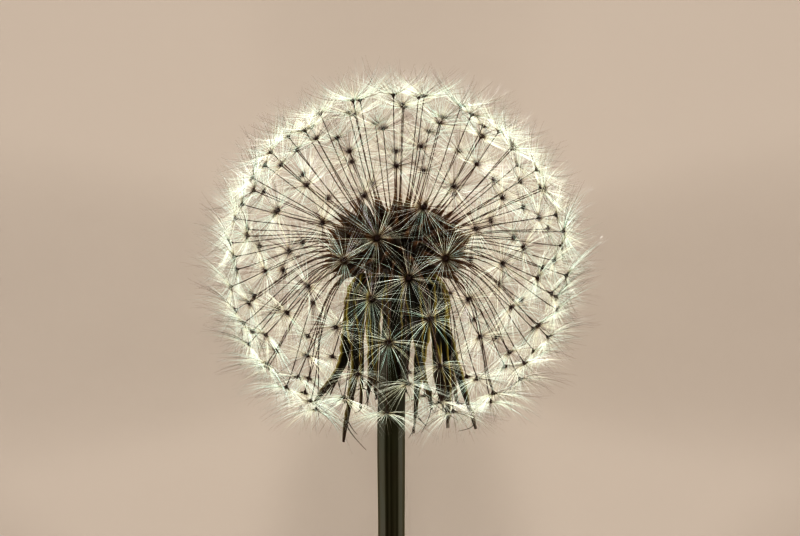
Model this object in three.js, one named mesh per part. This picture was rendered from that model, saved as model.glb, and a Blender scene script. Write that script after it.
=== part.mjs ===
// A ripe dandelion seed head on its cut stem, lying on a surface.
// Millimetres, +Z up, the surface at Z = 0 and the stem pointing along -Y.
// The pieces are drawn upright round the middle of the globe, with the flower's own axis along Z
// and levels measured from that middle, and are then laid down together.
import * as THREE from "three";

const DEGREE = Math.PI / 180;
const GOLDEN_ANGLE = 137.508 * DEGREE; // from each seed to the next round the head

// The globe of parachutes
const GLOBE_RADIUS = 19.3; // to the knots where the parachutes open
const GLOBE_HEIGHT = 21; // its middle above the surface
const LOWEST_KNOT = 155 * DEGREE; // from the top: below this the stem comes out
const SEEDS_ON_HEAD = 170;
const SEEDS_MODELLED = 40; // an evenly spread part of them
const SEED_UNDERNEATH = 114; // this seed points straight down when the head lies on its side
const LOOSENESS = 2 * DEGREE; // how far a knot may stray from the even spiral
const DEPTH_SPREAD = 0.25; // and how far in or out
const PRESSED_BELOW = 1.2; // parachutes under this height are pressed flatter by the surface

// The receptacle: an oval dome that the seeds stand on, narrowing below to the stem
const DOME_RADIUS = 4.7;
const DOME_RISE = 2.7;
const DOME_LEVEL = 1.5; // where it is widest
const DOME_END = 128; // degrees from its top
const DOME_STEP = 16;
const NECK = [[3.1, -1.4], [2.5, -3.4], [1.8, -5.2], [1.7, -6]]; // radius and level
const RECEPTACLE_SIDES = 20;

// The larger oval that the shoulders of the seeds reach
const SHOULDER_RADIUS = 8;
const SHOULDER_RISE = 5.3;
const SHOULDER_DROP = 6.6;
const SHOULDER_LEVEL = 2.1;

// One seed: the achene, its thin beak and the parachute
const ACHENE_RADIUS = 0.55;
const BEAK_RADIUS = 0.15;
const KNOT_RADIUS = 0.32;
const PARACHUTE_RADIUS = 4.5;
const PARACHUTE_RISE = 2.4;
const PARACHUTE_THICKNESS = 0.45;
const SEED_SIDES = 8;
const BEAMS_MEET = 2.5; // the beaks point away from this level
const LOWEST_BEAM = 158 * DEGREE; // direction from there to the lowest knots
const LOWEST_LEAN = 28 * DEGREE; // how much further out than its knot the lowest achene points
const SEED_GAP = 0.3; // between a seed and the receptacle

// The stem, a hollow tube
const STEM_RADIUS = 1.55;
const STEM_WALL = 0.45;
const STEM_TOP = -6.3;
const STEM_END = -68;
const STEM_ASIDE = 0.67; // how far its straight run lies beside the flower's axis
const STEM_BOW = 1.4; // how far it bends towards the surface

// Bracts, the dry green leaves that hang round the top of the stem. Every bract leaves the neck,
// turns over at a shoulder and hangs: radius and level of each of these places
const BRACT_ROOT = [3.9, -1.5];
const BRACT_SHOULDER = [5.2, -3.3];
const BRACT_HANG = [5.6, -7];
const BRACT_THICKNESS = 0.34;
const BRACT_ROOT_WIDTH = 1.45;
const BRACT_TIP_WIDTH = 0.35;
const BRACT_STEPS = 10;

// Angles round the stem, in degrees: 0 faces the viewer, 90 is +X. The roots are evenly spaced.
const FIRST_BRACT = -88;

// Each bract: the angle of its tip, radius and level of its middle and its tip, and its width
const BRACTS = [
  { tip: -86, middle: [6.1, -11.7], end: [9.6, -16.4], width: 1.5 },
  { tip: -52, middle: [5.7, -13.2], end: [7.6, -20.4], width: 1.4 },
  { tip: -44, middle: [5.5, -11.5], end: [5.8, -16.6], width: 1.2 },
  { tip: -26, middle: [5.3, -10.6], end: [5.2, -15.6], width: 1.2 },
  { tip: 4, middle: [4.8, -9.6], end: [4.2, -13.4], width: 1.3 },
  { tip: 38, middle: [5.2, -11.0], end: [6.4, -16.7], width: 1.5 },
  { tip: 62, middle: [5.8, -11.3], end: [6.2, -16.0], width: 1.2 },
  { tip: 76, middle: [6.0, -12.8], end: [5.9, -19.0], width: 1.3 },
  { tip: 88, middle: [6.9, -12.6], end: [9.0, -19.2], width: 1.3 },
  { tip: 112, middle: [6.2, -11.4], end: [7.4, -16.2], width: 1.3 },
  { tip: 126, middle: [5.6, -11.8], end: [6.6, -17.4], width: 1.2 },
  { tip: 158, middle: [5.2, -12.2], end: [5.2, -20.0], width: 1.4 },
  { tip: 168, middle: [4.9, -10.4], end: [4.8, -15.2], width: 1.2 },
  { tip: 198, middle: [5.4, -11.6], end: [6.0, -17.2], width: 1.3 },
  { tip: 210, middle: [5.6, -10.8], end: [6.8, -16.2], width: 1.4 },
  { tip: 234, middle: [5.9, -11.8], end: [7.2, -18.2], width: 1.3 },
  { tip: 251, middle: [6.4, -11.0], end: [8.2, -15.4], width: 1.2 },
];

// How the upright flower comes to lie: its axis leans this far from level, so that the globe
// and the cut end of the stem both meet the surface
const LEAN = Math.asin((GLOBE_HEIGHT - STEM_RADIUS) / -STEM_END);
const LAID_DOWN = new THREE.Matrix4()
  .makeTranslation(0, 0, GLOBE_HEIGHT)
  .multiply(new THREE.Matrix4().makeRotationX(LEAN - Math.PI / 2));

const dry = (color, roughness) => new THREE.MeshStandardMaterial({ color, roughness, metalness: 0 });
const SEED_MATERIAL = dry(0xded8c8, 0.8);
const BRACT_MATERIAL = dry(0x4f4722, 0.8);
const STEM_MATERIAL = dry(0x5d5a2c, 0.6);
const RECEPTACLE_MATERIAL = dry(0x8c7f55, 0.9);

// A repeatable number from -1 to 1 for each seed and each use
function scatter(seed, use) {
  const wave = Math.sin(seed * 12.9898 + use * 78.233) * 43758.5453;
  return 2 * (wave - Math.floor(wave)) - 1;
}

// A point given by its angle round the flower's axis, its distance from it and its level
function around(angle, radius, level) {
  return new THREE.Vector3(radius * Math.cos(angle), radius * Math.sin(angle), level);
}

// Points for a lathe from pairs of radius and level
function profile(pairs) {
  return pairs.map(([radius, level]) => new THREE.Vector2(radius, level));
}

// Height after the surface has pressed a soft piece: it evens out towards 0 and goes no lower
function pressed(height) {
  if (height >= PRESSED_BELOW) {
    return height;
  }
  const share = Math.max(0, (height + PRESSED_BELOW) / (2 * PRESSED_BELOW));
  return PRESSED_BELOW * share * share;
}

// Moves every vertex of a geometry by a function of its position
function reshape(geometry, place) {
  const positions = geometry.attributes.position;
  const vertex = new THREE.Vector3();
  for (let i = 0; i < positions.count; i += 1) {
    vertex.fromBufferAttribute(positions, i);
    const moved = place(vertex);
    positions.setXYZ(i, moved.x, moved.y, moved.z);
  }
  geometry.computeVertexNormals();
  return geometry;
}

// Where each seed opens: an even spiral over the globe, a little loose as on a grown head
function knots() {
  const start = Math.PI / 2 - SEED_UNDERNEATH * GOLDEN_ANGLE;
  return Array.from({ length: SEEDS_ON_HEAD }, (_, seed) => {
    const share = (seed + 0.5) / SEEDS_ON_HEAD;
    const loose = seed === SEED_UNDERNEATH ? 0 : LOOSENESS;
    const angle = start + seed * GOLDEN_ANGLE + loose * scatter(seed, 1);
    const evenly = Math.acos(1 - share * (1 - Math.cos(LOWEST_KNOT)));
    const polar = evenly + loose * scatter(seed, 2);
    const radius = GLOBE_RADIUS + DEPTH_SPREAD * scatter(seed, 3);
    return { seed, angle, point: around(angle, radius * Math.sin(polar), radius * Math.cos(polar)) };
  });
}

// Picks the knots that lie furthest from each other, the one underneath first
function spreadOut(all, count) {
  const chosen = [all[SEED_UNDERNEATH]];
  const gapTo = (knot) => Math.min(...chosen.map((other) => other.point.distanceTo(knot.point)));
  while (chosen.length < count) {
    const gaps = all.map(gapTo);
    chosen.push(all[gaps.indexOf(Math.max(...gaps))]);
  }
  return chosen.sort((one, other) => one.seed - other.seed);
}

// The line of a seed: straight through the achene, then the beak curving out to its knot
function seedLine({ angle, point }) {
  const beam = Math.atan2(Math.hypot(point.x, point.y), point.z - BEAMS_MEET);
  const stand = beam - LOWEST_LEAN * (beam / LOWEST_BEAM) ** 3;
  const out = Math.sin(stand);
  const up = Math.cos(stand);
  const shoulderHeight = up > 0 ? SHOULDER_RISE : SHOULDER_DROP;
  const root = around(angle, DOME_RADIUS * out, DOME_LEVEL + DOME_RISE * up);
  const shoulder = around(angle, SHOULDER_RADIUS * out, SHOULDER_LEVEL + shoulderHeight * up);
  const leaving = shoulder.clone().sub(root).normalize();
  const arriving = point.clone().sub(shoulder).normalize();
  const bend = point.distanceTo(shoulder) / 3;
  root.addScaledVector(leaving, SEED_GAP);
  const line = new THREE.CurvePath();
  line.add(new THREE.LineCurve3(root, shoulder));
  line.add(new THREE.CubicBezierCurve3(
    shoulder,
    shoulder.clone().addScaledVector(leaving, bend),
    point.clone().addScaledVector(arriving, -bend),
    point,
  ));
  return line;
}

// A seed, turned round its line: achene, beak, knot, and an open cone for the parachute
function seedGeometry(knot) {
  const line = seedLine(knot);
  const [achene, knotAt] = line.getCurveLengths();
  const beak = knotAt - achene;
  const outline = [
    [0, 0],
    [0.5 * ACHENE_RADIUS, 0],
    [ACHENE_RADIUS, 0.45 * achene],
    [0.8 * ACHENE_RADIUS, 0.75 * achene],
    [BEAK_RADIUS, 1.1 * achene],
    [BEAK_RADIUS, achene + 0.4 * beak],
    [BEAK_RADIUS, achene + 0.7 * beak],
    [BEAK_RADIUS, knotAt - KNOT_RADIUS],
    [KNOT_RADIUS, knotAt],
    [0.5 * PARACHUTE_RADIUS, knotAt + 0.3 * PARACHUTE_RISE],
    [PARACHUTE_RADIUS, knotAt + PARACHUTE_RISE],
    [0.95 * PARACHUTE_RADIUS, knotAt + PARACHUTE_RISE + 0.6 * PARACHUTE_THICKNESS],
    [0.45 * PARACHUTE_RADIUS, knotAt + 0.3 * PARACHUTE_RISE + PARACHUTE_THICKNESS],
    [0, knotAt + PARACHUTE_THICKNESS],
  ];
  const sideways = around(knot.angle + Math.PI / 2, 1, 0);
  return reshape(new THREE.LatheGeometry(profile(outline), SEED_SIDES), (vertex) => {
    const share = Math.min(1, vertex.y / knotAt);
    const ahead = line.getTangent(share);
    const across = sideways.clone().cross(ahead);
    return line
      .getPoint(share)
      .addScaledVector(ahead, Math.max(0, vertex.y - knotAt))
      .addScaledVector(sideways, vertex.x)
      .addScaledVector(across, vertex.z);
  });
}

function receptacleGeometry() {
  const dome = [];
  for (let angle = 0; angle <= DOME_END; angle += DOME_STEP) {
    const fromTop = angle * DEGREE;
    dome.push([DOME_RADIUS * Math.sin(fromTop), DOME_LEVEL + DOME_RISE * Math.cos(fromTop)]);
  }
  const bottom = [0, NECK[NECK.length - 1][1]];
  const outline = profile([...dome, ...NECK, bottom].reverse());
  return new THREE.LatheGeometry(outline, RECEPTACLE_SIDES).rotateX(Math.PI / 2);
}

// Nearly straight from under the receptacle to the cut end, where it turns a little aside
function stemGeometry() {
  const at = (share, aside, bow) => {
    const level = STEM_TOP + share * (STEM_END - STEM_TOP);
    return new THREE.Vector3(-aside * STEM_ASIDE, bow * STEM_BOW, level);
  };
  const line = new THREE.CatmullRomCurve3([
    at(0, 0, 0),
    at(0.07, 0.65, 0.1),
    at(0.17, 1, 0.4),
    at(0.45, 1, 1),
    at(0.75, 1.5, 0.8),
    at(1, 3, 0),
  ]);
  const section = new THREE.Shape().absarc(0, 0, STEM_RADIUS, 0, 2 * Math.PI);
  section.holes.push(new THREE.Path().absarc(0, 0, STEM_RADIUS - STEM_WALL, 0, 2 * Math.PI));
  return new THREE.ExtrudeGeometry(section, { extrudePath: line, steps: 18, curveSegments: 7 });
}

// A bract: a strap along its hanging line, wide at the root and tapering to the tip
function bractGeometry({ tip, middle, end, width }, i) {
  const root = FIRST_BRACT + (360 * i) / BRACTS.length;
  const at = (share, [radius, level]) => {
    const fromViewer = root + (tip - root) * share;
    return around((fromViewer - 90) * DEGREE, radius, level);
  };
  const line = new THREE.CatmullRomCurve3([
    at(0, BRACT_ROOT),
    at(0, BRACT_SHOULDER),
    at(0.2, BRACT_HANG),
    at(0.5, middle),
    at(1, end),
  ]);
  const widthAt = (share) => {
    const full = THREE.MathUtils.lerp(BRACT_ROOT_WIDTH, width, Math.min(1, 2 * share));
    return THREE.MathUtils.lerp(full, BRACT_TIP_WIDTH, share ** 3);
  };
  return reshape(new THREE.BoxGeometry(1, 1, 1, 1, BRACT_STEPS, 1), (vertex) => {
    const share = vertex.y + 0.5;
    const centre = line.getPointAt(share);
    const ahead = line.getTangentAt(share);
    const outward = new THREE.Vector3(centre.x, centre.y, 0).normalize();
    const sideways = outward.cross(ahead).normalize();
    const face = sideways.clone().cross(ahead);
    return centre
      .addScaledVector(sideways, vertex.x * widthAt(share))
      .addScaledVector(face, vertex.z * BRACT_THICKNESS);
  });
}

const seedHead = new THREE.Group();

function addPiece(name, geometry, material) {
  const piece = new THREE.Mesh(geometry, material);
  piece.name = name;
  seedHead.add(piece);
}

function addRow(name, geometries, material) {
  geometries.forEach((geometry, i) => {
    addPiece(`${name}_${String(i + 1).padStart(2, "0")}`, geometry, material);
  });
}

const laidDown = (geometry) => geometry.applyMatrix4(LAID_DOWN);
const lyingOnSurface = (geometry) =>
  reshape(laidDown(geometry), (vertex) => vertex.setZ(pressed(vertex.z)));

addPiece("receptacle", laidDown(receptacleGeometry()), RECEPTACLE_MATERIAL);
addPiece("stem", laidDown(stemGeometry()), STEM_MATERIAL);
addRow("bract", BRACTS.map(bractGeometry).map(laidDown), BRACT_MATERIAL);
addRow(
  "seed",
  spreadOut(knots(), SEEDS_MODELLED).map(seedGeometry).map(lyingOnSurface),
  SEED_MATERIAL,
);

// The origin is the middle of the bottom of the whole box
const box = new THREE.Box3().setFromObject(seedHead);
seedHead.position.set(-(box.min.x + box.max.x) / 2, -(box.min.y + box.max.y) / 2, -box.min.z);

export default seedHead;
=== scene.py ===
"""Looks of a ripe dandelion seed head that lies on a surface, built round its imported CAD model.

Sizes are in millimetres unless they say otherwise. The flower is drawn upright, with levels along
its own axis from the middle of the globe of parachutes, and `lay` puts it down as the CAD model
lies.
"""
import math

import bpy
import numpy as np
from mathutils import Matrix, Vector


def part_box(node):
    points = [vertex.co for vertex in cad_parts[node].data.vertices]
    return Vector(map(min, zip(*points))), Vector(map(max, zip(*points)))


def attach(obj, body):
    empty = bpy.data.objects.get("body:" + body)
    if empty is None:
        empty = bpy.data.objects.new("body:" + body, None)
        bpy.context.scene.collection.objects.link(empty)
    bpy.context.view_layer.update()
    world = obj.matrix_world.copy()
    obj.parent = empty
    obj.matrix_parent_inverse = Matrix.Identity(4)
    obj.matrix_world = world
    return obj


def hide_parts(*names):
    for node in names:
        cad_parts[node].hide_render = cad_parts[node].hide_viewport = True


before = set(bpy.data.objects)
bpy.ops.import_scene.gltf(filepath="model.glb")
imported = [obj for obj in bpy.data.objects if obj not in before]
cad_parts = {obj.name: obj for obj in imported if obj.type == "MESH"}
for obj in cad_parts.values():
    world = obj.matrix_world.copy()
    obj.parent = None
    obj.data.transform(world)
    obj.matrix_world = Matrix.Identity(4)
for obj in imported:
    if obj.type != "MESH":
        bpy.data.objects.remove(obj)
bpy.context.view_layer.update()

MM = 0.001
DEGREE = math.pi / 180
GOLDEN_ANGLE = 137.508 * DEGREE  # from each seed to the next round the head

# The globe of parachutes
GLOBE_RADIUS = 19.3  # to the knots where the parachutes open
GLOBE_HEIGHT = 21  # its middle above the surface
LOWEST_KNOT = 155 * DEGREE  # from the top: below this the stem comes out
SEEDS_ON_HEAD = 170
SEED_UNDERNEATH = 114  # this seed points straight down when the head lies on its side
LOOSENESS = 2 * DEGREE  # how far a knot may stray from the even spiral
DEPTH_SPREAD = 0.25  # and how far in or out
SOFT_HEIGHT = 2.2  # strands lower than this above the surface are bent up by it

# The receptacle: an oval dome that the seeds stand on, narrowing below to the stem
DOME_RADIUS = 4.7
DOME_RISE = 2.7
DOME_LEVEL = 1.5  # where it is widest
DOME_START = 4  # degrees from its top
DOME_END = 128
NECK = [(3.6, -1.35), (2.6, -3.4), (1.8, -5.2), (1.7, -6.0)]  # radius and level
DOME_STEPS = 24
RECEPTACLE_SIDES = 64
RECEPTACLE_SIDES_IN_CAD = 20
RECEPTACLE_ROWS = 44
PIT_DEPTH = 0.14  # of the pit where each seed stands
PIT_RADIUS = 0.2
RIM_HEIGHT = 0.09  # of the rim round it
RIM_RADIUS = 0.34
RIM_WIDTH = 0.13

# The larger oval that the shoulders of the seeds reach
SHOULDER_RADIUS = 8
SHOULDER_RISE = 5.3
SHOULDER_DROP = 6.6
SHOULDER_LEVEL = 2.1

# A seed's line
BEAMS_MEET = 2.5  # the beaks point away from this level
LOWEST_BEAM = 158 * DEGREE  # direction from there to the lowest knots
LOWEST_LEAN = 28 * DEGREE  # how much further out than its knot the lowest achene points
LOOSEST_ACHENE = 1.1  # how far the loosest achenes have slid out

# A seed's achene, with teeth at its shoulder
ACHENE_OUTLINE = np.array([
    # share of the length, radius
    (0.00, 0.12), (0.05, 0.26), (0.14, 0.44), (0.26, 0.56), (0.38, 0.58), (0.49, 0.51),
    (0.58, 0.41), (0.68, 0.31), (0.79, 0.23), (0.90, 0.17), (1.00, 0.13),
])
ACHENE_SIDES = 10  # every other one a rib
ACHENE_FLATNESS = 0.72
RIB_DEPTH = 0.16  # share of the radius
RIBS_END = 1 / 8  # share of the length in which the ribs fade out
TEETH = 14
TOOTH_PLACES = (0.30, 0.66)  # shares of the achene's length
TOOTH_LENGTHS = (0.22, 0.42)
TOOTH_RADII = (0.09, 0.015)  # at the foot and at the tip
TOOTH_SUNK = 0.85  # share of the achene's radius at which a tooth starts

# A seed's beak and knot
BEAK_RADIUS = 0.062
BEAK_SIDES = 5
BEAK_POINTS = 10
KNOT_OUTLINE = np.array([
    # height over the knot's middle, radius
    (-0.34, 0.06), (-0.20, 0.14), (-0.08, 0.23), (0.05, 0.25), (0.15, 0.18), (0.21, 0.08),
])
KNOT_SIDES = 8

# A seed's parachute, with angles in degrees and spreads after their means
HAIRS = 77
TUFTS = 14  # hairs that cling together at their ends
HAIR_LENGTH = 6.1
HAIR_RADIUS = 0.0086
HAIR_SIDES = 3
HAIR_RINGS = 5
HAIR_START = 0.2  # from the knot's axis
FOOT_RISE = (10, 8)  # how a hair rises from the flat where it leaves the knot
TUFT_RISE = (42, 13)  # how a tuft rises at its end
HAIR_RISE = 5  # spread of single hairs in their tuft
RISE_LIMITS = (10, 78)
CLINGING = (0.2, 1.2)  # share of the way that a tuft's hairs turn to its middle
DRIFT = 3  # spread of how far single hairs turn aside

# The stem, a hollow tube
STEM_RADIUS = 1.55
STEM_WALL = 0.45
STEM_TOP = -6.3
STEM_END = -68
STEM_ASIDE = 0.67  # how far its straight run lies beside the flower's axis
STEM_BOW = 1.4  # how far it bends towards the surface
STEM_SIDES = 60
STEM_ROWS = 110
BORE_END = 8  # the row below the stem's top where its bore stops
RAGGED_CUT = 0.16

# Bracts, the dry leaves that hang round the top of the stem. Every bract leaves the neck, turns
# over at a shoulder and hangs: radius and level of each of these places. Angles are in degrees
# from the side that the camera sees
BRACT_ROOT = (3.9, -1.5)
BRACT_SHOULDER = (5.2, -3.3)
BRACT_HANG = (5.6, -7)
FIRST_BRACT = -88  # angle of its root; the others' roots follow evenly
BRACTS = [
    # angle of the tip, radius and level of the middle, of the tip, and the width
    (-86, (6.1, -11.7), (9.6, -16.4), 1.5),
    (-52, (5.7, -13.2), (7.6, -20.4), 1.4),
    (-44, (5.5, -11.5), (5.8, -16.6), 1.2),
    (-26, (5.3, -10.6), (5.2, -15.6), 1.2),
    (4, (4.8, -9.6), (4.2, -13.4), 1.3),
    (38, (5.2, -11.0), (6.4, -16.7), 1.5),
    (62, (5.8, -11.3), (6.2, -16.0), 1.2),
    (76, (6.0, -12.8), (5.9, -19.0), 1.3),
    (88, (6.9, -12.6), (9.0, -19.2), 1.3),
    (112, (6.2, -11.4), (7.4, -16.2), 1.3),
    (126, (5.6, -11.8), (6.6, -17.4), 1.2),
    (158, (5.2, -12.2), (5.2, -20.0), 1.4),
    (168, (4.9, -10.4), (4.8, -15.2), 1.2),
    (198, (5.4, -11.6), (6.0, -17.2), 1.3),
    (210, (5.6, -10.8), (6.8, -16.2), 1.4),
    (234, (5.9, -11.8), (7.2, -18.2), 1.3),
    (251, (6.4, -11.0), (8.2, -15.4), 1.2),
]
BRACT_OUTLINE = np.array([
    # across the half width, and out of the bract's face
    (-1.0, 0.16), (-0.8, 0.02), (-0.45, -0.10), (-0.15, -0.10), (0.0, -0.04), (0.15, -0.10),
    (0.45, -0.10), (0.8, 0.02), (1.0, 0.16), (0.84, 0.14), (0.5, 0.03), (0.2, 0.02), (0.0, 0.10),
    (-0.2, 0.02), (-0.5, 0.03), (-0.84, 0.14),
])
BRACT_STATIONS = 48
BRACT_WIDTH = 2.3  # at the root
THINNEST = 0.1  # share of its width that a bract keeps at its tip
SIDE_TWIST = 55  # degrees that a bract at the head's side is turned by, past its middle
TORN = 0.07  # how uneven the edges are, as a share of the half width
FIBRES = 4
FIBRE_POINTS = 6
FIBRES_FROM = 12  # stations before the tip
FIBRE_LENGTHS = (0.7, 2.0)
FIBRE_RADII = (0.07, 0.02)  # at the foot and at the tip

ACHENE_SLOT, BEAK_SLOT, HAIR_SLOT = range(3)  # in a seed's list of materials

# Where each part lies on its piece's texture map: left, bottom, right and top, as shares
WHOLE_MAP = (0.02, 0.02, 0.98, 0.98)
HAIRS_MAP = (0, 0.02, 1, 0.74)
ACHENE_MAP = (0.02, 0.78, 0.55, 0.98)
TEETH_MAP = (0.57, 0.78, 0.63, 0.97)
BEAK_MAP = (0.66, 0.78, 0.8, 0.98)
KNOT_MAP = (0.83, 0.78, 0.98, 0.98)
BLADE_MAP = (0.02, 0.02, 0.88, 0.98)
FIBRES_MAP = (0.9, 0, 0.98, 1)
CAP_SIZE = 0.02  # share of its strand's rectangle that each end takes
CAP_RISE = 0.97  # from the first end to the last

# The camera, looking square at the flower's axis
PICTURE_WIDTH = 91.954  # how much of the flower's own plane it shows
AIM_RIGHT = 0.345  # of the globe's middle
AIM_BELOW = 0.69
LENS = 120
SENSOR = 36
CAMERA_REACH = 10  # metres

# The studio: a plain floor and wide soft lamps low all round
FLOOR_HALF = 4.0  # metres from its middle to its edges
FILL_LIGHT = (0.178, 0.168, 0.156)
WALL = (0.392, 0.332, 0.288)  # past the floor's edge, where only the camera sees it
SOFTBOX_WIDTH = 16  # degrees
SOFTBOX_HEIGHT = 7  # degrees above the floor
SOFTBOXES = [
    # name, degrees round the flower, strength, colour
    ("back_softbox", 90, 6.6, (0.985, 0.98, 0.945)),
    ("left_softbox", 180, 6.1, (0.95, 0.975, 0.97)),
    ("right_softbox", 0, 5.6, (0.975, 0.98, 0.95)),
    ("front_softbox", 270, 2.0, (1.0, 1.0, 1.0)),
]

LEAN = math.asin((GLOBE_HEIGHT - STEM_RADIUS) / -STEM_END)
UP = np.array([0, math.cos(LEAN), math.sin(LEAN)])  # the flower's axis as it lies
AWAY = np.array([0, math.sin(LEAN), -math.cos(LEAN)])  # the way the camera looks
RIGHT = np.array([1.0, 0, 0])
UPRIGHT_TO_LYING = np.stack([RIGHT, AWAY, UP])


# ---- Lines and places ------------------------------------------------------------------------


def unit(vectors):
    return vectors / np.linalg.norm(vectors, axis=-1, keepdims=True)


def lay(points):
    """Upright points as they lie on the surface."""
    return np.asarray(points, float) @ UPRIGHT_TO_LYING + [0, 0, GLOBE_HEIGHT]


def lifted(points):
    """Soft strands bend up before the surface: heights even out towards 0 and stay above it."""
    points = points.copy()
    z = points[..., 2]
    low = SOFT_HEIGHT * np.exp((np.minimum(z, SOFT_HEIGHT) - SOFT_HEIGHT) / SOFT_HEIGHT)
    points[..., 2] = np.where(z < SOFT_HEIGHT, low, z)
    return points


def around(angle, radius, level):
    return np.array([radius * math.cos(angle), radius * math.sin(angle), level])


def turns(count):
    """Directions evenly round a ring."""
    return np.arange(count) * 2 * np.pi / count


def scatter(seed, use):
    """A number from -1 to 1 that is always the same for this seed and use, as in the CAD model."""
    wave = math.sin(seed * 12.9898 + use * 78.233) * 43758.5453
    return 2 * (wave - math.floor(wave)) - 1


def smooth_line(points, count):
    """Points evenly along a centripetal Catmull-Rom curve, as three.js draws it."""
    p = [np.asarray(q, float) for q in points]
    p = [2 * p[0] - p[1], *p, 2 * p[-1] - p[-2]]
    fine = []
    for a, b, c, d in zip(p, p[1:], p[2:], p[3:]):
        ab, bc, cd = (math.sqrt(np.linalg.norm(v)) for v in (b - a, c - b, d - c))
        start = ((b - a) / ab - (c - a) / (ab + bc) + (c - b) / bc) * bc
        stop = ((c - b) / bc - (d - b) / (bc + cd) + (d - c) / cd) * bc
        t = np.linspace(0, 1, 40, endpoint=False)[:, None]
        square = 3 * (c - b) - 2 * start - stop
        cube = 2 * (b - c) + start + stop
        fine.append(b + start * t + square * t**2 + cube * t**3)
    fine = np.concatenate([*fine, p[-2][None]])
    return evenly(fine, count)


def evenly(fine, count):
    """Points the same distance apart along a finely stepped line."""
    steps = np.linalg.norm(np.diff(fine, axis=0), axis=1)
    length = np.concatenate([[0], np.cumsum(steps)])
    wanted = np.linspace(0, length[-1], count)
    return np.stack([np.interp(wanted, length, fine[:, i]) for i in range(3)], axis=1)


def bezier(handles, count):
    t = np.linspace(0, 1, count)[:, None]
    a, b, c, d = handles
    return a * (1 - t) ** 3 + 3 * b * t * (1 - t) ** 2 + 3 * c * t**2 * (1 - t) + d * t**3


def rings_along(line, radii, sides, reference, flat=1.0):
    """Round rings about each strand's line: line is (strands, rings, 3), radii (strands, rings)
    or with sides as a third axis. flat squeezes them along reference."""
    ahead = unit(np.gradient(line, axis=1))
    if reference.ndim == 2:
        reference = reference[:, None]
    side = unit(np.cross(ahead, reference))
    over = np.cross(side, ahead)
    turn = turns(sides)
    radii = radii[..., None] if radii.ndim == 2 else radii
    out = (radii * np.cos(turn))[..., None] * side[:, :, None]
    up = (radii * flat * np.sin(turn))[..., None] * over[:, :, None]
    return line[:, :, None] + out + up


def rows_of(area, count, start, stop):
    """An area of the texture map cut into rows, each used from start to stop of its height."""
    left, bottom, right, top = area
    height = (top - bottom) / count
    row = bottom + height * np.arange(count)
    edges = np.broadcast_arrays(left, row + start * height, right, row + stop * height)
    return np.stack(edges, axis=1)


class Solid:
    """Closed skins gathered into one mesh, each of strands made of rings of points."""

    def __init__(self):
        self.points = []
        self.loops = []
        self.sizes = []
        self.slots = []
        self.places = []
        self.values = {"along": [], "across": [], "tone": []}
        self.count = 0

    def skin(self, rings, slot, areas, along=None, across=0, tone=0):
        """Adds strands: rings is (strands, rings, sides, 3). areas is (strands, 4), each strand's
        own rectangle on the texture map. Materials read along, which is the share of the length
        unless it is given, and across and tone."""
        strands, ring_count, sides = shape = rings.shape[:3]
        along = np.linspace(0, 1, ring_count)[:, None] if along is None else along
        for name, value in (("along", along), ("across", across), ("tone", tone)):
            self.values[name].append(np.broadcast_to(value, shape).ravel())
        index = self.count + np.arange(strands * ring_count * sides).reshape(shape)
        low, high = index[:, :-1], index[:, 1:]
        quads = np.stack([low, np.roll(low, -1, 2), np.roll(high, -1, 2), high], axis=-1)
        caps = np.stack([index[:, 0, ::-1], index[:, -1]], axis=1)
        self.add_faces(quads.reshape(-1, 4), slot)
        self.add_faces(caps.reshape(-1, sides), slot)
        self.place_on_map(np.asarray(areas, float), ring_count, sides)
        self.points.append(rings.reshape(-1, 3))
        self.count += strands * ring_count * sides

    def add_faces(self, faces, slot):
        self.loops.append(faces.ravel())
        self.sizes.append(np.full(len(faces), faces.shape[1]))
        self.slots.append(np.full(len(faces), slot))

    def place_on_map(self, areas, ring_count, sides):
        """Unrolls each strand over its rectangle, with its two ends as discs in a corner."""
        u0, v0, u1, v1 = areas.T[:, :, None, None, None]
        side = (np.arange(sides)[:, None] + [0, 1, 1, 0]) / sides
        ring = (np.arange(ring_count - 1)[:, None, None] + [0, 0, 1, 1]) / (ring_count - 1)
        quads = np.broadcast_arrays(u0 + (u1 - u0) * side, v0 + (v1 - v0) * ring)
        self.places.append(np.stack(quads, axis=-1).reshape(-1, 2))
        corner, size = areas[:, None, :2], areas[:, None, 2:] - areas[:, None, :2]
        round_cap = 0.5 + 0.5 * np.stack([np.cos(turns(sides)), np.sin(turns(sides))], axis=1)
        first = corner + CAP_SIZE * size * round_cap
        last = first + size * [0, CAP_RISE]
        self.places.append(np.stack([first, last], axis=1).reshape(-1, 2))

    def piece(self, name, materials, replaced=()):
        mesh = bpy.data.meshes.new(name)
        sizes = np.concatenate(self.sizes)
        mesh.vertices.add(self.count)
        points = np.concatenate(self.points) * MM + TO_FRAME
        mesh.vertices.foreach_set("co", points.ravel())
        mesh.loops.add(int(sizes.sum()))
        mesh.loops.foreach_set("vertex_index", np.concatenate(self.loops))
        mesh.polygons.add(len(sizes))
        mesh.polygons.foreach_set("loop_start", np.concatenate([[0], np.cumsum(sizes)[:-1]]))
        mesh.polygons.foreach_set("material_index", np.concatenate(self.slots))
        mesh.polygons.foreach_set("use_smooth", np.ones(len(sizes), bool))
        mesh.update(calc_edges=True)
        places = mesh.uv_layers.new(name="OFBake").uv
        places.foreach_set("vector", np.concatenate(self.places).ravel())
        for value_name, values in self.values.items():
            attribute = mesh.attributes.new(value_name, "FLOAT", "POINT")
            attribute.data.foreach_set("value", np.concatenate(values).astype(np.float32))
        for material in materials:
            mesh.materials.append(material)
        made = bpy.data.objects.new(name, mesh)
        bpy.context.scene.collection.objects.link(made)
        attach(made, "root")
        if replaced:
            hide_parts(*replaced)
        return made


# ---- Materials -------------------------------------------------------------------------------

BLACK = (0, 0, 0)
WHITE = (1, 1, 1)


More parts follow.
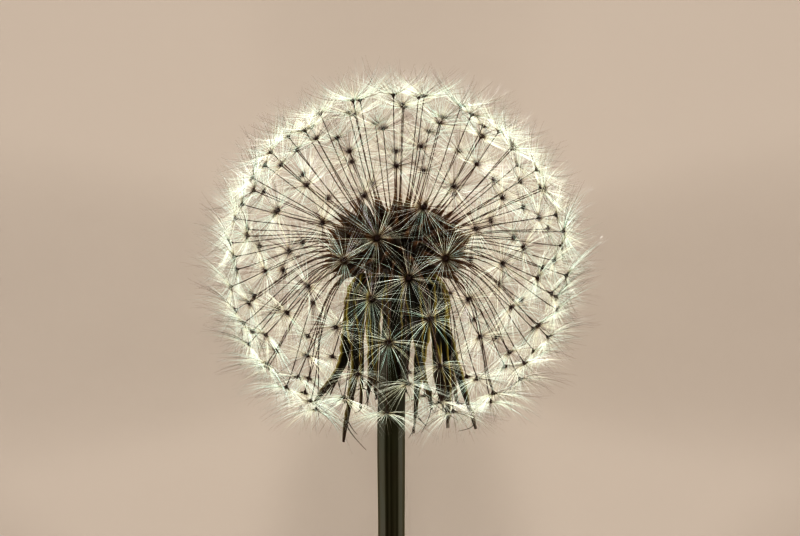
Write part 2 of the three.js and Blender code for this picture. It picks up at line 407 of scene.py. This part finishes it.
def as_input(colour):
    """A colour as a node takes it: another node's output as it is, or with its fourth number."""
    return colour if isinstance(colour, bpy.types.NodeSocket) else (*colour, 1)


class Look:
    """One material's nodes. add() makes a node and sets or links its inputs by name or place."""

    def __init__(self, name):
        self.material = bpy.data.materials.new(name)
        self.material.use_nodes = True
        self.tree = self.material.node_tree
        self.tree.nodes.clear()

    def add(self, kind, inputs=None, **settings):
        node = self.tree.nodes.new(kind)
        for key, value in settings.items():
            setattr(node, key, value)
        for key, value in (inputs or {}).items():
            if isinstance(value, bpy.types.NodeSocket):
                self.tree.links.new(value, node.inputs[key])
            else:
                node.inputs[key].default_value = value
        return node

    def value(self, name):
        return self.add("ShaderNodeAttribute", attribute_name=name).outputs["Fac"]

    def ramp(self, share, *stops):
        """A colour that changes with share; each stop is (place, colour)."""
        node = self.add("ShaderNodeValToRGB", {"Fac": share})
        elements = node.color_ramp.elements
        while len(elements) < len(stops):
            elements.new(0.5)
        for element, (place, colour) in zip(elements, stops):
            element.position = place
            element.color = (*colour, 1)
        return node.outputs["Color"]

    def noise(self, scale, detail=3, stretch=None):
        where = self.add("ShaderNodeTexCoord").outputs["Object"]
        if stretch:
            where = self.add("ShaderNodeMapping", {"Vector": where, "Scale": stretch}).outputs[0]
        inputs = {"Vector": where, "Scale": scale, "Detail": detail}
        return self.add("ShaderNodeTexNoise", inputs).outputs["Fac"]

    def mix(self, share, a, b, blend="MIX"):
        inputs = {0: share, 6: as_input(a), 7: as_input(b)}
        return self.add("ShaderNodeMix", inputs, data_type="RGBA", blend_type=blend).outputs[2]

    def range(self, share, low, high):
        inputs = {"Value": share, "To Min": low, "To Max": high}
        return self.add("ShaderNodeMapRange", inputs).outputs[0]

    def bump(self, height, strength, distance):
        inputs = {"Height": height, "Strength": strength, "Distance": distance}
        return self.add("ShaderNodeBump", inputs).outputs[0]

    def surface(self, colour, roughness, specular=0.5, **more):
        inputs = {"Base Color": colour, "Roughness": roughness, "Specular IOR Level": specular}
        return self.add("ShaderNodeBsdfPrincipled", {**inputs, **more}).outputs[0]

    def letting_through(self, surface, share, colour):
        """The surface, with this share of it lit from behind."""
        through = self.add("ShaderNodeBsdfTranslucent", {"Color": as_input(colour)}).outputs[0]
        return self.add("ShaderNodeMixShader", {0: share, 1: surface, 2: through}).outputs[0]

    def finish(self, shader):
        self.add("ShaderNodeOutputMaterial", {"Surface": shader})
        return self.material


HAIR_TINTS = [
    # hairs split the light: from cold ones over white to warm ones
    (0.0, (0.58, 0.80, 0.70)),
    (0.25, (0.74, 0.86, 0.77)),
    (0.5, (0.88, 0.90, 0.82)),
    (0.75, (0.84, 0.84, 0.64)),
    (1.0, (0.76, 0.68, 0.76)),
]
HAIR_FOOT = [
    # dark where a hair leaves its knot
    (0.0, (0.03, 0.014, 0.007)),
    (0.035, (0.10, 0.055, 0.03)),
    (0.085, (0.70, 0.62, 0.52)),
    (0.17, WHITE),
]
# Painted shade: pale hairs darken to brown tips, and some hairs are brown all along, as hairs that
# catch no light look
HAIR_SHADED_TIP = [(0.5, BLACK), (1.0, (0.8, 0.8, 0.8))]  # how far a pale hair turns brown to its tip
SHADED_BROWN_HAIRS = [(0.38, WHITE), (0.41, BLACK)]  # hairs of lower values than these are all brown
HAIR_PAINTED_SHADE = (0.055, 0.031, 0.017)


def hair_look():
    """Silky hairs: tone picks a hair's tint, and across whether it is a brown one; the brown hairs
    and brown tips are painted shade, of hairs that catch no light.
    """
    look = Look("pappus_hair")
    tint = look.ramp(look.value("tone"), *HAIR_TINTS)
    foot = look.ramp(look.value("along"), *HAIR_FOOT)
    pale = look.mix(1.0, tint, foot, "MULTIPLY")
    shaded_tip = look.ramp(look.value("along"), *HAIR_SHADED_TIP)
    brown = look.ramp(look.value("across"), *SHADED_BROWN_HAIRS)
    # painted shade: brown all along, or towards the tip
    colour = look.mix(look.mix(brown, shaded_tip, WHITE), pale, HAIR_PAINTED_SHADE)
    silk = look.surface(colour, look.range(look.noise(900), 0.16, 0.34), 0.6, IOR=1.55)
    return look.finish(look.letting_through(silk, 0.35, colour))


BEAK_COLOURS = [
    # from the achene to the knot
    (0.0, (0.080, 0.034, 0.010)),
    (0.25, (0.042, 0.018, 0.007)),
    (0.9, (0.034, 0.013, 0.005)),
    (1.0, (0.022, 0.007, 0.003)),
]


def beak_look():
    look = Look("beak")
    colour = look.ramp(look.value("along"), *BEAK_COLOURS)
    uneven = look.mix(look.range(look.noise(1200), 0.6, 1.25), BLACK, colour)
    return look.finish(look.surface(uneven, 0.6, 0.2))


ACHENE_GROOVE = (0.005, 0.0025, 0.0015)
ACHENE_RIB = (0.030, 0.013, 0.004)
ACHENE_MOTTLE = (0.010, 0.0045, 0.002)
ACHENE_TIP = (0.060, 0.025, 0.006)
ACHENE_GLOW = (0.75, 0.38, 0.09)


def achene_look():
    look = Look("achene")
    colour = look.mix(look.value("across"), ACHENE_GROOVE, ACHENE_RIB)
    mottled = look.mix(look.range(look.noise(1500), 0.0, 0.7), colour, ACHENE_MOTTLE)
    tip = look.ramp(look.value("along"), (0.6, BLACK), (0.9, WHITE))
    tipped = look.mix(tip, mottled, ACHENE_TIP)
    roughness = look.range(look.noise(2200), 0.5, 0.8)
    grain = look.bump(look.noise(4000), 0.4, 0.0001)
    surface = look.surface(tipped, roughness, 0.2, Normal=grain)
    return look.finish(look.letting_through(surface, 0.10, ACHENE_GLOW))


BRACT_DARK = (0.007, 0.0055, 0.002)
BRACT_LIGHT = (0.020, 0.016, 0.005)
# painted light: the glow of light shining through a bract's thin edges
BRACT_EDGE_GLOW = (0.17, 0.13, 0.022)
BRACT_TIP = (0.030, 0.013, 0.005)


def bract_look():
    """Streaked and dark, with yellow edges that are painted light, as of light shining through
    them, and a brown tip: across is 1 at the edges.
    """
    look = Look("dry_bract")
    glow_margin = look.ramp(look.value("across"), (0.7, BLACK), (0.97, WHITE))
    streaks = look.noise(500, 4, stretch=(1, 0.12, 1))
    body = look.mix(streaks, BRACT_DARK, BRACT_LIGHT)
    # the painted glow along the edges
    glow_edged = look.mix(glow_margin, body, BRACT_EDGE_GLOW)
    dry = look.ramp(look.value("along"), (0.6, BLACK), (1.0, WHITE))
    colour = look.mix(dry, glow_edged, BRACT_TIP)
    roughness = look.range(streaks, 0.55, 0.85)
    surface = look.surface(colour, roughness, 0.2, Normal=look.bump(streaks, 0.5, 0.0002))
    return look.finish(look.letting_through(surface, 0.2, colour))


STEM_DARK = (0.009, 0.008, 0.002)
STEM_LIGHT = (0.025, 0.022, 0.005)
STEM_BLOTCH = (0.024, 0.014, 0.005)


def stem_look():
    look = Look("stem_skin")
    streaks = look.noise(420, 4, stretch=(1, 0.06, 1))
    skin = look.mix(streaks, STEM_DARK, STEM_LIGHT)
    blotches = look.mix(look.range(look.noise(160), -0.5, 0.8), skin, STEM_BLOTCH)
    roughness = look.range(streaks, 0.5, 0.72)
    ridges = look.bump(streaks, 0.35, 0.0002)
    return look.finish(look.surface(blotches, roughness, 0.15, Normal=ridges))


PITH_DARK = (0.020, 0.012, 0.006)
PITH_LIGHT = (0.07, 0.045, 0.022)


def receptacle_look():
    look = Look("receptacle_pith")
    pits = look.noise(700, 5)
    colour = look.mix(pits, PITH_DARK, PITH_LIGHT)
    return look.finish(look.surface(colour, 0.85, Normal=look.bump(pits, 0.6, 0.0003)))


FLOOR_DARK = (0.415, 0.354, 0.309)
FLOOR_LIGHT = (0.43, 0.368, 0.321)


def floor_look():
    """A plain pale studio sheet: matte, with the faintest cloudiness."""
    look = Look("pale_floor")
    colour = look.mix(look.noise(18), FLOOR_DARK, FLOOR_LIGHT)
    return look.finish(look.surface(colour, 1.0, 0.0))


# ---- Seeds -----------------------------------------------------------------------------------


def knot_places():
    """Where each seed opens, upright: angle round the axis and place, as in the CAD model."""
    start = math.pi / 2 - SEED_UNDERNEATH * GOLDEN_ANGLE
    found = []
    for seed in range(SEEDS_ON_HEAD):
        share = (seed + 0.5) / SEEDS_ON_HEAD
        loose = 0 if seed == SEED_UNDERNEATH else LOOSENESS
        angle = start + seed * GOLDEN_ANGLE + loose * scatter(seed, 1)
        polar = math.acos(1 - share * (1 - math.cos(LOWEST_KNOT))) + loose * scatter(seed, 2)
        radius = GLOBE_RADIUS + DEPTH_SPREAD * scatter(seed, 3)
        found.append((angle, around(angle, radius * math.sin(polar), radius * math.cos(polar))))
    return found


def spread_out(places, count):
    """The seeds that the CAD model has: those that lie furthest from each other."""
    chosen = [SEED_UNDERNEATH]
    gaps = np.linalg.norm(places - places[SEED_UNDERNEATH], axis=1)
    while len(chosen) < count:
        chosen.append(int(gaps.argmax()))
        gaps = np.minimum(gaps, np.linalg.norm(places - places[chosen[-1]], axis=1))
    return sorted(chosen)


def seed_guides(angle, knot):
    """Root, shoulder and the beak's line of a seed, upright."""
    beam = math.atan2(math.hypot(knot[0], knot[1]), knot[2] - BEAMS_MEET)
    stand = beam - LOWEST_LEAN * (beam / LOWEST_BEAM) ** 3
    out, up = math.sin(stand), math.cos(stand)
    shoulder_height = SHOULDER_RISE if up > 0 else SHOULDER_DROP
    root = around(angle, DOME_RADIUS * out, DOME_LEVEL + DOME_RISE * up)
    shoulder = around(angle, SHOULDER_RADIUS * out, SHOULDER_LEVEL + shoulder_height * up)
    leaving = unit(shoulder - root)
    arriving = unit(knot - shoulder)
    bend = np.linalg.norm(knot - shoulder) / 3
    handles = [shoulder, shoulder + bend * leaving, knot - bend * arriving, knot]
    return root, shoulder, handles


def add_achene(solid, root, shoulder, random):
    shares, radii = ACHENE_OUTLINE.T
    line = root + (shoulder - root) * shares[:, None]
    reference = unit(np.cross(shoulder - root, random.normal(size=3)))
    rib = np.cos(np.arange(ACHENE_SIDES) * np.pi)
    size = random.uniform(0.9, 1.1)
    ribbed = np.clip((1 - shares) / RIBS_END, 0, 1)[:, None]
    radii = size * radii[:, None] * (1 + RIB_DEPTH * rib * ribbed)
    rings = rings_along(line[None], radii[None], ACHENE_SIDES, reference, ACHENE_FLATNESS)
    solid.skin(rings, ACHENE_SLOT, [ACHENE_MAP], shares[:, None], (1 + rib) / 2)
    add_teeth(solid, root, shoulder, reference, size, random)


def add_teeth(solid, root, shoulder, reference, size, random):
    ahead = unit(shoulder - root)
    side = unit(np.cross(ahead, reference))
    over = np.cross(side, ahead)
    turn = random.uniform(0, 2 * np.pi, TEETH)
    level = random.uniform(*TOOTH_PLACES, TEETH)
    out = np.cos(turn)[:, None] * side + ACHENE_FLATNESS * np.sin(turn)[:, None] * over
    distance = TOOTH_SUNK * size * np.interp(level, *ACHENE_OUTLINE.T)
    foot = root + (shoulder - root) * level[:, None] + out * distance[:, None]
    reach = unit(out + ahead) * random.uniform(*TOOTH_LENGTHS, TEETH)[:, None]
    lines = np.stack([foot, foot + reach], axis=1)
    radii = np.broadcast_to(TOOTH_RADII, (TEETH, 2))
    rings = rings_along(lines, radii, 3, unit(np.cross(ahead, out)))
    solid.skin(rings, ACHENE_SLOT, rows_of(TEETH_MAP, TEETH, 0, 0.9), 0.7, 1)


def add_beak(solid, line):
    """A thin stalk, a little thicker where it leaves the achene and under the knot."""
    shares = np.linspace(0, 1, len(line))
    radii = BEAK_RADIUS * (0.85 + 0.95 * np.exp(-9 * shares) + 0.15 * shares**4)
    rings = rings_along(line[None], radii[None], BEAK_SIDES, np.array([0.3, 0.2, 0.9]))
    solid.skin(rings, BEAK_SLOT, [BEAK_MAP])


def across_from(axis):
    return unit(np.cross(axis, [0.31, 0.52, 0.79]))


def add_knot(solid, knot, axis):
    heights, radii = KNOT_OUTLINE.T
    line = knot + axis * heights[:, None]
    rings = rings_along(line[None], radii[None], KNOT_SIDES, across_from(axis))
    solid.skin(rings, BEAK_SLOT, [KNOT_MAP], 1)


def add_parachute(solid, knot, axis, random):
    """Hairs that rise outwards in a bowl, each tuft of them drawn together."""
    first = across_from(axis)
    second = np.cross(axis, first)
    turn = (np.arange(HAIRS) + random.uniform(-0.4, 0.4, HAIRS)) * 2 * np.pi / HAIRS
    tuft = np.arange(HAIRS) * TUFTS // HAIRS
    tuft_turn = (tuft + 0.5 + random.uniform(-0.3, 0.3, TUFTS)[tuft]) * 2 * np.pi / TUFTS
    radial = np.cos(turn)[:, None] * first + np.sin(turn)[:, None] * second
    sideways = np.cross(axis, radial)
    low = random.normal(*FOOT_RISE, HAIRS)
    tuft_rise = random.normal(*TUFT_RISE, TUFTS)[tuft]
    high = np.clip(tuft_rise + random.normal(0, HAIR_RISE, HAIRS), *RISE_LIMITS)
    together = random.uniform(*CLINGING, TUFTS)[tuft] * (tuft_turn - turn) / DEGREE
    drift = random.normal(0, DRIFT, HAIRS) + together
    length = HAIR_LENGTH * random.uniform(0.86, 1.08, HAIRS)
    step = np.linspace(0, 1, HAIR_RINGS)
    middle = (step[1:] + step[:-1]) / 2
    rise = (low[:, None] + (high - low)[:, None] * middle) * DEGREE
    swerve = drift[:, None] * middle * DEGREE
    moves = (
        (np.cos(rise) * np.cos(swerve))[..., None] * radial[:, None]
        + (np.cos(rise) * np.sin(swerve))[..., None] * sideways[:, None]
        + np.sin(rise)[..., None] * axis
    ) * (length / (HAIR_RINGS - 1))[:, None, None]
    height = random.uniform(-0.06, 0.12, HAIRS)[:, None]
    start = knot + HAIR_START * radial + axis * height
    line = np.concatenate([start[:, None], start[:, None] + np.cumsum(moves, axis=1)], axis=1)
    radii = HAIR_RADIUS * np.interp(step, [0, 0.3, 1], [1.3, 1.0, 0.35])
    stout = random.uniform(0.6, 1.5, HAIRS)[:, None]
    rings = rings_along(lifted(line), stout * radii, HAIR_SIDES, axis)
    tint = 0.6 * random.uniform(0, 1, TUFTS)[tuft] + 0.4 * random.uniform(0, 1, HAIRS)
    # painted shade: hairs with a low share are drawn brown all along, as hairs that catch no light
    shade_share = 0.5 * random.uniform(0, 1, TUFTS)[tuft] + 0.5 * random.uniform(0, 1, HAIRS)
    left, bottom, right, top = HAIRS_MAP
    rows = rows_of((bottom, left, top, right), HAIRS, 0.15, 0.85)
    columns = rows[:, [1, 0, 3, 2]]  # across and up the map swapped
    solid.skin(rings, HAIR_SLOT, columns, None, shade_share[:, None, None], tint[:, None, None])


def check_place(node, point):
    """Stops the script where a seed that the CAD model has isn't in its node's box."""
    low, high = (np.array(corner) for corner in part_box(node))
    place = point * MM + TO_FRAME
    if (place < low - 2 * MM).any() or (place > high + 2 * MM).any():
        raise SystemExit(f"{node} isn't where this script expects it")


def add_seeds(materials):
    knots = knot_places()
    in_cad = spread_out(np.array([place for _, place in knots]), CAD_SEEDS)
    for seed, (angle, knot) in enumerate(knots):
        random = np.random.default_rng(seed)
        root, shoulder, handles = seed_guides(angle, knot)
        root, shoulder = lay(root), lay(shoulder)
        line = lifted(bezier([lay(handle) for handle in handles], BEAK_POINTS))
        axis = unit(line[-1] - line[-2])
        solid = Solid()
        slid_out = LOOSEST_ACHENE * random.uniform(0, 1) ** 2 * unit(shoulder - root)
        add_achene(solid, root + slid_out, shoulder + slid_out, random)
        add_beak(solid, line)
        add_knot(solid, line[-1], axis)
        add_parachute(solid, line[-1], axis, random)
        nodes = []
        if seed in in_cad:
            nodes = [f"seed_{in_cad.index(seed) + 1:02d}"]
            check_place(nodes[0], line[-1])
        solid.piece(f"dandelion_seed_{seed + 1:03d}", materials, nodes)


# ---- Receptacle, stem and bracts ---------------------------------------------------------------


def receptacle_outline():
    """Radius and level down the dome and the neck, with a nought as the third number."""
    dome = [
        (DOME_RADIUS * math.sin(a * DEGREE), DOME_LEVEL + DOME_RISE * math.cos(a * DEGREE))
        for a in np.linspace(DOME_START, DOME_END, DOME_STEPS)
    ]
    return np.array([(*place, 0) for place in [*dome, *NECK]])


def receptacle_rings(sides):
    outline = evenly(receptacle_outline(), RECEPTACLE_ROWS)
    x = outline[:, :1] * np.cos(turns(sides))
    y = outline[:, :1] * np.sin(turns(sides))
    z = np.broadcast_to(outline[:, 1:2], x.shape)
    return np.stack([x, y, z], axis=-1)[None, ::-1]


def add_receptacle(material):
    """The dome, with a pit and its raised rim where each seed stands."""
    solid = Solid()
    rings = receptacle_rings(RECEPTACLE_SIDES)
    roots = np.array([seed_guides(angle, knot)[0] for angle, knot in knot_places()])
    flat = rings.reshape(-1, 3)
    nearest = np.min(np.linalg.norm(flat[:, None] - roots[None], axis=2), axis=1)
    pit = PIT_DEPTH * np.exp(-((nearest / PIT_RADIUS) ** 2))
    rim = RIM_HEIGHT * np.exp(-(((nearest - RIM_RADIUS) / RIM_WIDTH) ** 2))
    middle = np.array([0, 0, DOME_LEVEL - 1])
    rings = (flat + unit(flat - middle) * (rim - pit)[:, None]).reshape(rings.shape)
    solid.skin(lay(rings), 0, [WHOLE_MAP])
    solid.piece("seed_receptacle", [material], ["receptacle"])


def stem_line(count):
    """Nearly straight to the cut end, where it turns a little aside, as in the CAD model."""
    def at(share, aside, bow):
        return (-aside * STEM_ASIDE, bow * STEM_BOW, STEM_TOP + share * (STEM_END - STEM_TOP))

    guides = [
        at(0, 0, 0), at(0.07, 0.65, 0.1), at(0.17, 1, 0.4),
        at(0.45, 1, 1), at(0.75, 1.5, 0.8), at(1, 3, 0),
    ]
    return smooth_line(guides, count)


def add_stem(material):
    """One skin that runs down the outside, over the ragged cut and back up the bore."""
    random = np.random.default_rng(7)
    line = stem_line(STEM_ROWS)
    turn = turns(STEM_SIDES)
    shares = np.linspace(0, 1, STEM_ROWS)[:, None]
    ribs = 0.022 * np.cos(12 * turn + 1.5 * shares) + 0.012 * np.cos(19 * turn - 2 * shares + 1)
    swell = 0.02 * np.sin(9 * shares) + 0.012 * np.sin(23 * shares + 2)
    outer = STEM_RADIUS * (0.98 + ribs + swell)
    bore = np.full_like(outer, STEM_RADIUS - STEM_WALL) * (1 + 0.03 * np.cos(5 * turn))
    back_up = slice(None, BORE_END, -1)
    path = np.concatenate([line, line[back_up]])
    radii = np.concatenate([outer, bore[back_up]])
    ahead = unit(np.gradient(line, axis=0))
    ahead = np.concatenate([ahead, ahead[back_up]])
    side = unit(RIGHT - ahead * (ahead @ RIGHT)[:, None])
    over = np.cross(ahead, side)
    across = (radii * np.cos(turn))[..., None] * side[:, None]
    up = (radii * np.sin(turn))[..., None] * over[:, None]
    rings = path[:, None] + across + up
    ragged = RAGGED_CUT * np.sin(3 * turn + 1) + 0.1 * random.uniform(-1, 1, STEM_SIDES)
    for row in (STEM_ROWS - 1, STEM_ROWS):
        rings[row] += np.outer(ragged, ahead[row])
    solid = Solid()
    solid.skin(lay(rings[None, :, ::-1]), 0, [WHOLE_MAP])
    solid.piece("hollow_stem", [material], ["stem"])


def torn_edges(random):
    """Uneven widths down each side of a bract, one row for a station and one column for a point."""
    rough = random.normal(0, 1, (BRACT_STATIONS, 2))
    rough[1:] = (rough[1:] + rough[:-1]) / 1.5
    left = BRACT_OUTLINE[:, 0] < 0
    return np.where(left, rough[:, :1], rough[:, 1:])


def add_fibres(solid, line, ahead, side, half, random):
    """Loose fibres that stand off the torn end of a bract."""
    station = random.integers(BRACT_STATIONS - FIBRES_FROM, BRACT_STATIONS - 1, FIBRES)
    edge = random.choice([-0.7, 0.7], FIBRES)
    start = line[station] + side[station] * (edge * half[station])[:, None]
    drift = unit(ahead[station] + 0.35 * random.normal(size=(FIBRES, 3)))
    bend = 0.3 * random.normal(size=(FIBRES, 3))
    share = np.linspace(0, 1, FIBRE_POINTS)[:, None]
    reach = random.uniform(*FIBRE_LENGTHS, FIBRES)[:, None, None] * share
    fibres = start[:, None] + reach * drift[:, None] + reach**2 * bend[:, None]
    radii = np.broadcast_to(np.linspace(*FIBRE_RADII, FIBRE_POINTS), (FIBRES, FIBRE_POINTS))
    rings = rings_along(lay(fibres), radii, 4, unit(np.array([0.3, 0.9, 0.2])))
    solid.skin(rings, 0, rows_of(FIBRES_MAP, FIBRES, 0.08, 0.9), 0.9, 0.3)


def bract_line(index):
    """The line down a bract's middle, as in the CAD model."""
    tip, middle, end, _ = BRACTS[index]
    root = FIRST_BRACT + 360 * index / len(BRACTS)

    def at(share, place):
        angle = (root + (tip - root) * share - 90) * DEGREE
        return around(angle, *place)

    guides = [
        at(0, BRACT_ROOT), at(0, BRACT_SHOULDER), at(0.2, BRACT_HANG), at(0.5, middle), at(1, end),
    ]
    return smooth_line(guides, BRACT_STATIONS)


def add_bract(index, material):
    """A dry strap that tapers, twists, curls and ripples, with torn edges and loose fibres."""
    tip, _, _, width = BRACTS[index]
    random = np.random.default_rng(100 + index)
    line = bract_line(index)
    shares = np.linspace(0, 1, BRACT_STATIONS)
    ahead = unit(np.gradient(line, axis=0))
    outward = unit(line * [1, 1, 0])
    side = unit(np.cross(outward, ahead))
    face = np.cross(side, ahead)
    full = BRACT_WIDTH + (width - BRACT_WIDTH) * np.minimum(1, 1.6 * shares)
    taper = np.clip(1 - shares ** random.uniform(2.6, 6), THINNEST, 1)
    wavy = 1 + 0.10 * np.sin(random.uniform(9, 15) * shares + random.uniform(0, 6))
    half = 0.5 * full * taper * wavy
    turned = SIDE_TWIST * math.sin(tip * DEGREE) * np.clip(2.5 * shares - 0.6, 0, 1)
    twist = turned + random.normal(0, 14) * shares**2 + random.normal(0, 5) * np.sin(7 * shares)
    cos, sin = np.cos(twist * DEGREE)[:, None], np.sin(twist * DEGREE)[:, None]
    side, face = cos * side + sin * face, cos * face - sin * side
    across = BRACT_OUTLINE[:, 0] * (1 + TORN * torn_edges(random))
    shares = shares[:, None]
    curl = 0.35 * (1 - 0.4 * shares) + 0.9 * shares**4
    arch = (curl * across**2 - 0.1) * half[:, None]
    ripple = np.sin(random.uniform(16, 26) * shares + 2 * across + random.uniform(0, 6))
    depth = arch + BRACT_OUTLINE[:, 1] * (1.1 - 0.4 * shares) + 0.08 * ripple * across**2
    sideways = (half[:, None] * across)[..., None] * side[:, None]
    rings = line[:, None] + sideways - depth[..., None] * face[:, None]
    solid = Solid()
    solid.skin(lay(rings[None]), 0, [BLADE_MAP], shares, np.abs(BRACT_OUTLINE[:, 0]))
    add_fibres(solid, line, ahead, side, half, random)
    name = f"bract_{index + 1:02d}"
    solid.piece(f"dried_{name}", [material], [name])


# ---- Stage -------------------------------------------------------------------------------------


def add_floor():
    mesh = bpy.data.meshes.new("floor")
    corners = [(x * FLOOR_HALF, y * FLOOR_HALF, 0) for x, y in ((-1, -1), (1, -1), (1, 1), (-1, 1))]
    mesh.from_pydata(corners, [], [(0, 1, 2, 3)])
    mesh.materials.append(floor_look())
    floor = bpy.data.objects.new("floor", mesh)
    bpy.context.scene.collection.objects.link(floor)


def aim(thing, place, target, up):
    """Puts a camera or lamp at place, looking at target."""
    back = unit(np.asarray(place, float) - target)
    right = unit(np.cross(up, back))
    axes = np.stack([right, np.cross(back, right), back], axis=1)
    thing.matrix_world = Matrix([*(([*row, at]) for row, at in zip(axes, place)), [0, 0, 0, 1]])


def add_camera(middle):
    data = bpy.data.cameras.new("camera")
    data.lens = LENS
    data.sensor_width = SENSOR
    data.clip_end = CAMERA_REACH
    camera = bpy.data.objects.new("camera", data)
    bpy.context.scene.collection.objects.link(camera)
    distance = PICTURE_WIDTH * MM * LENS / SENSOR
    target = middle + (AIM_RIGHT * RIGHT - AIM_BELOW * UP) * MM
    aim(camera, target - AWAY * distance, target, UP)
    bpy.context.scene.camera = camera


def add_softbox(name, turn, strength, colour):
    """A wide soft lamp far outside the picture, low over the floor."""
    data = bpy.data.lights.new(name, "SUN")
    data.angle = SOFTBOX_WIDTH * DEGREE
    data.energy = strength
    data.color = colour
    softbox = bpy.data.objects.new(name, data)
    bpy.context.scene.collection.objects.link(softbox)
    height = SOFTBOX_HEIGHT * DEGREE
    toward = around(turn * DEGREE, math.cos(height), math.sin(height))
    aim(softbox, toward, np.zeros(3), np.array([0.01, 0.02, 1.0]))


def add_light():
    """Soft studio light: wide lamps low on every side, and the room's even fill."""
    world = bpy.data.worlds.new("world")
    world.use_nodes = True
    nodes, links = world.node_tree.nodes, world.node_tree.links
    fill = nodes["Background"]
    fill.inputs["Color"].default_value = as_input(FILL_LIGHT)
    wall = nodes.new("ShaderNodeBackground")
    wall.inputs["Color"].default_value = as_input(WALL)
    seen = nodes.new("ShaderNodeLightPath").outputs["Is Camera Ray"]
    either = nodes.new("ShaderNodeMixShader")
    for socket, output in ((0, seen), (1, fill.outputs[0]), (2, wall.outputs[0])):
        links.new(output, either.inputs[socket])
    links.new(either.outputs[0], nodes["World Output"].inputs[0])
    bpy.context.scene.world = world
    bpy.context.scene.view_settings.view_transform = "Standard"
    bpy.context.scene.view_settings.look = "Very High Contrast"
    for softbox in SOFTBOXES:
        add_softbox(*softbox)


def frame_offset():
    """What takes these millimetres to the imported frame: where the receptacle lies in it."""
    own = lay(receptacle_rings(RECEPTACLE_SIDES_IN_CAD)).reshape(-1, 3) * MM
    low, high = (np.array(corner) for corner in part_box("receptacle"))
    return (low + high) / 2 - (own.min(0) + own.max(0)) / 2


CAD_SEEDS = sum(node.startswith("seed_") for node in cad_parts)
TO_FRAME = frame_offset()

add_receptacle(receptacle_look())
add_stem(stem_look())
bract_material = bract_look()
for bract in range(len(BRACTS)):
    add_bract(bract, bract_material)
add_seeds([achene_look(), beak_look(), hair_look()])

globe_middle = lay([0, 0, 0]) * MM + TO_FRAME
add_floor()
add_camera(globe_middle)
add_light()
